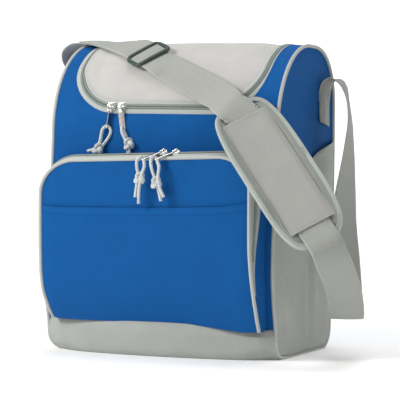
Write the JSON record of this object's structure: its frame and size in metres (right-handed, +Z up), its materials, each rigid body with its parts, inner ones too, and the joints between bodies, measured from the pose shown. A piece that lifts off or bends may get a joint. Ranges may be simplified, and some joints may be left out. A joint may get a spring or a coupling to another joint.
{
  "type": "insulated cooler bag",
  "caption": "Soft insulated cooler bag with arched zip lid, zipped front pocket, side pockets and an adjustable padded shoulder strap.",
  "frame": {"origin": "centre of the main body's footprint on the floor", "axes": "+X to the viewer's right facing the front pocket, +Y to the back of the bag, +Z up"},
  "size_m": [0.4149, 0.251, 0.3598],
  "materials": {
    "blue_cloth": "woven, matt",
    "grey_cloth": "woven, matt",
    "light_cloth": "woven, matt",
    "binding": "ribbed tape",
    "piping": "satin",
    "foam": "closed-cell foam, matt",
    "liner": "wrinkled film, satin",
    "board": "matt",
    "pad_cloth": "woven, matt",
    "zip_tape": "ribbed tape",
    "zip_teeth": "satin",
    "nickel": "polished nickel",
    "cord": "braided",
    "webbing": "coarse weave",
    "buckle": "satin"
  },
  "bodies": {
    "bag": {"front_panel": "blue_cloth", "back_panel": "blue_cloth", "side_panel_left": "blue_cloth", "side_panel_right": "blue_cloth", "base_band": "grey_cloth", "side_pocket_left": "grey_cloth", "side_pocket_right": "grey_cloth", "pocket_hem_left": "binding", "pocket_hem_right": "binding", "foam_front": "foam", "foam_back": "foam", "foam_left": "foam", "foam_right": "foam", "foam_bottom": "foam", "liner_tub": "liner", "base_board": "board", "piping_left": "piping", "piping_right": "piping", "lid_zip_tape_bag": "zip_tape", "lid_zip_teeth_bag": "zip_teeth", "pocket_gusset": "blue_cloth", "pocket_zip_tape_bag": "zip_tape", "pocket_zip_teeth_bag": "zip_teeth", "pocket_face_lower": "blue_cloth", "pocket_piping_lower": "piping", "strap_anchor_left": "webbing", "strap_anchor_right": "webbing"},
    "lid": {"lid_panel": "light_cloth", "lid_foam": "foam", "lid_liner": "liner", "lid_zip_tape_lid": "zip_tape", "lid_zip_teeth_lid": "zip_teeth"},
    "pocket_flap": {"pocket_face": "blue_cloth", "pocket_piping": "piping", "slip_pocket": "blue_cloth", "pocket_zip_tape_flap": "zip_tape", "pocket_zip_teeth_flap": "zip_teeth"},
    "strap": {"strap_webbing": "webbing", "strap_tail": "webbing"},
    "tri_glide": {"tri_glide": "buckle"},
    "shoulder_pad": {"pad_base": "pad_cloth", "pad_binding": "binding", "pad_sleeve": "light_cloth"},
    "lid_slider_left": {"lid_slider_left": "nickel"},
    "lid_pull_left": {"lid_pull_left": "nickel", "lid_cord_left": "cord", "lid_knot_left": "cord"},
    "lid_slider_right": {"lid_slider_right": "nickel"},
    "lid_pull_right": {"lid_pull_right": "nickel", "lid_cord_right": "cord", "lid_knot_right": "cord"},
    "pocket_slider_left": {"pocket_slider_left": "nickel"},
    "pocket_pull_left": {"pocket_pull_left": "nickel", "pocket_cord_left": "cord", "pocket_knot_left": "cord"},
    "pocket_slider_right": {"pocket_slider_right": "nickel"},
    "pocket_pull_right": {"pocket_pull_right": "nickel", "pocket_cord_right": "cord", "pocket_knot_right": "cord"}
  },
  "joints": [
    {"name": "lid_hinge", "type": "hinge", "parent": "bag", "child": "lid", "pos_m": [0, 0.0505, 0.3444], "axis": [-1, 0, 0], "range_deg": [0, 105]},
    {"name": "strap_lift", "type": "slide", "parent": "bag", "child": "strap", "axis": [0, -0.448, 0.894], "range_m": [0, 0.295]},
    {"name": "tri_glide_slide", "type": "slide", "parent": "strap", "child": "tri_glide", "axis": [0.8106, -0.4903, -0.3202], "range_m": [-0.01, 0.01]},
    {"name": "shoulder_pad_slide", "type": "slide", "parent": "strap", "child": "shoulder_pad", "axis": [0.6191, -0.212, -0.7561], "range_m": [-0.004, 0.008]},
    {"name": "lid_slider_left_travel", "type": "hinge", "parent": "bag", "child": "lid_slider_left", "pos_m": [-0.058, -0.06767, 0.32767], "axis": [0, 0.9423, -0.3349], "range_deg": [0, 10]},
    {"name": "lid_slider_right_travel", "type": "slide", "parent": "bag", "child": "lid_slider_right", "axis": [1, 0, 0], "range_m": [0, 0.085]},
    {"name": "pocket_fold", "type": "hinge", "parent": "bag", "child": "pocket_flap", "pos_m": [0, -0.1288, 0.092], "axis": [1, 0, 0], "range_deg": [0, 75]},
    {"name": "pocket_slider_left_travel", "type": "slide", "parent": "pocket_flap", "child": "pocket_slider_left", "axis": [-1, 0, 0], "range_m": [0, 0.07]},
    {"name": "pocket_slider_right_travel", "type": "slide", "parent": "pocket_flap", "child": "pocket_slider_right", "axis": [1, 0, 0], "range_m": [0, 0.045]},
    {"name": "lid_pull_left_swing", "type": "hinge", "parent": "lid_slider_left", "child": "lid_pull_left", "pos_m": [-0.064, -0.09283, 0.27692], "axis": [-1, 0, 0], "range_deg": [0, 150]},
    {"name": "lid_pull_right_swing", "type": "hinge", "parent": "lid_slider_right", "child": "lid_pull_right", "pos_m": [-0.051, -0.09283, 0.27692], "axis": [-1, 0, 0], "range_deg": [0, 150]},
    {"name": "pocket_pull_left_swing", "type": "hinge", "parent": "pocket_slider_left", "child": "pocket_pull_left", "pos_m": [0.0135, -0.1183, 0.2292], "axis": [-1, 0, 0], "range_deg": [0, 110]},
    {"name": "pocket_pull_right_swing", "type": "hinge", "parent": "pocket_slider_right", "child": "pocket_pull_right", "pos_m": [0.0285, -0.1183, 0.2292], "axis": [-1, 0, 0], "range_deg": [0, 110]}
  ],
  "couplings": [
    {"joint": "strap_lift", "follows": "lid_hinge", "m_per_rad": 0.16}
  ]
}
